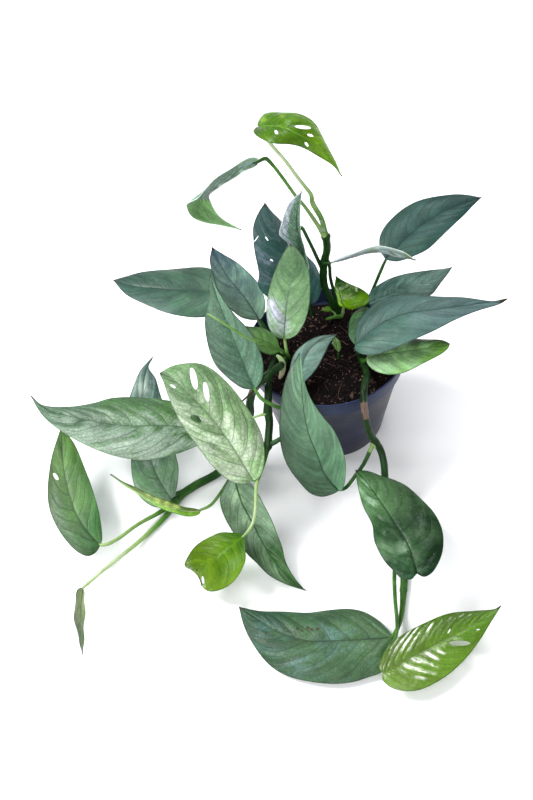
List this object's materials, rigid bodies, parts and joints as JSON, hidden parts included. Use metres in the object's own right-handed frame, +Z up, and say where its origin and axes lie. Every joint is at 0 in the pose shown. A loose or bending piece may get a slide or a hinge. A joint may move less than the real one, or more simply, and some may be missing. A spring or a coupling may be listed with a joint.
{
  "type": "potted plant",
  "caption": "Potted trailing aroid with long heart-shaped blue-green leaves, some with slits, on upright and trailing stems in a tapered round nursery pot.",
  "frame": {"origin": "centre of the pot's underside, on the surface it stands on", "axes": "+Z up; -Y towards the viewer of the picture; +X to the viewer's right"},
  "size_m": [0.3688, 0.3378, 0.273],
  "materials": {
    "pot": "satin slate blue plastic",
    "soil": "damp peat and bark",
    "stem": "dark green stem skin",
    "leaf_dark": "blue-green waxy leaf",
    "leaf_mid": "mid green waxy leaf",
    "leaf_grey": "grey-green waxy leaf",
    "leaf_pale": "pale green and cream waxy leaf",
    "leaf_silver": "silver-green leaf underside",
    "leaf_bright": "glossy yellow-green young leaf"
  },
  "bodies": {
    "root": {"pot": "pot", "soil": "soil", "vine_back": "stem", "stalk_tall_blue": "stem", "vine_left": "stem", "stalk_left_upright": "stem", "vine_floor": "stem", "vine_right": "stem", "crown_right": "stem", "stalk_shoot_front": "stem", "leaf_top_glossy": "leaf_bright", "leaf_folded_back": "leaf_silver", "leaf_tall_blue": "leaf_dark", "leaf_silver_curled": "leaf_silver", "leaf_pale_centre": "leaf_pale", "leaf_grey_left": "leaf_dark", "leaf_far_left": "leaf_mid", "leaf_left_upright": "leaf_mid", "leaf_small_green": "leaf_bright", "leaf_over_soil": "leaf_grey", "leaf_front_large": "leaf_mid", "leaf_narrow_trailing": "leaf_mid", "leaf_fenestrated": "leaf_pale", "leaf_round_bright": "leaf_bright", "leaf_long_silver": "leaf_pale", "leaf_behind_long": "leaf_grey", "leaf_left_trailing": "leaf_mid", "leaf_small_edge": "leaf_mid", "leaf_edge_bright": "leaf_bright", "leaf_right_heart": "leaf_mid", "leaf_floor_left": "leaf_mid", "leaf_floor_right": "leaf_bright", "leaf_back_right": "leaf_dark", "leaf_right_short": "leaf_dark", "leaf_thin_silver": "leaf_silver", "leaf_right_long": "leaf_dark", "leaf_right_bright": "leaf_bright", "leaf_tucked_under": "leaf_grey", "leaf_small_bright": "leaf_bright", "leaf_shoot_back": "leaf_bright", "leaf_shoot_front": "leaf_bright"}
  },
  "joints": []
}
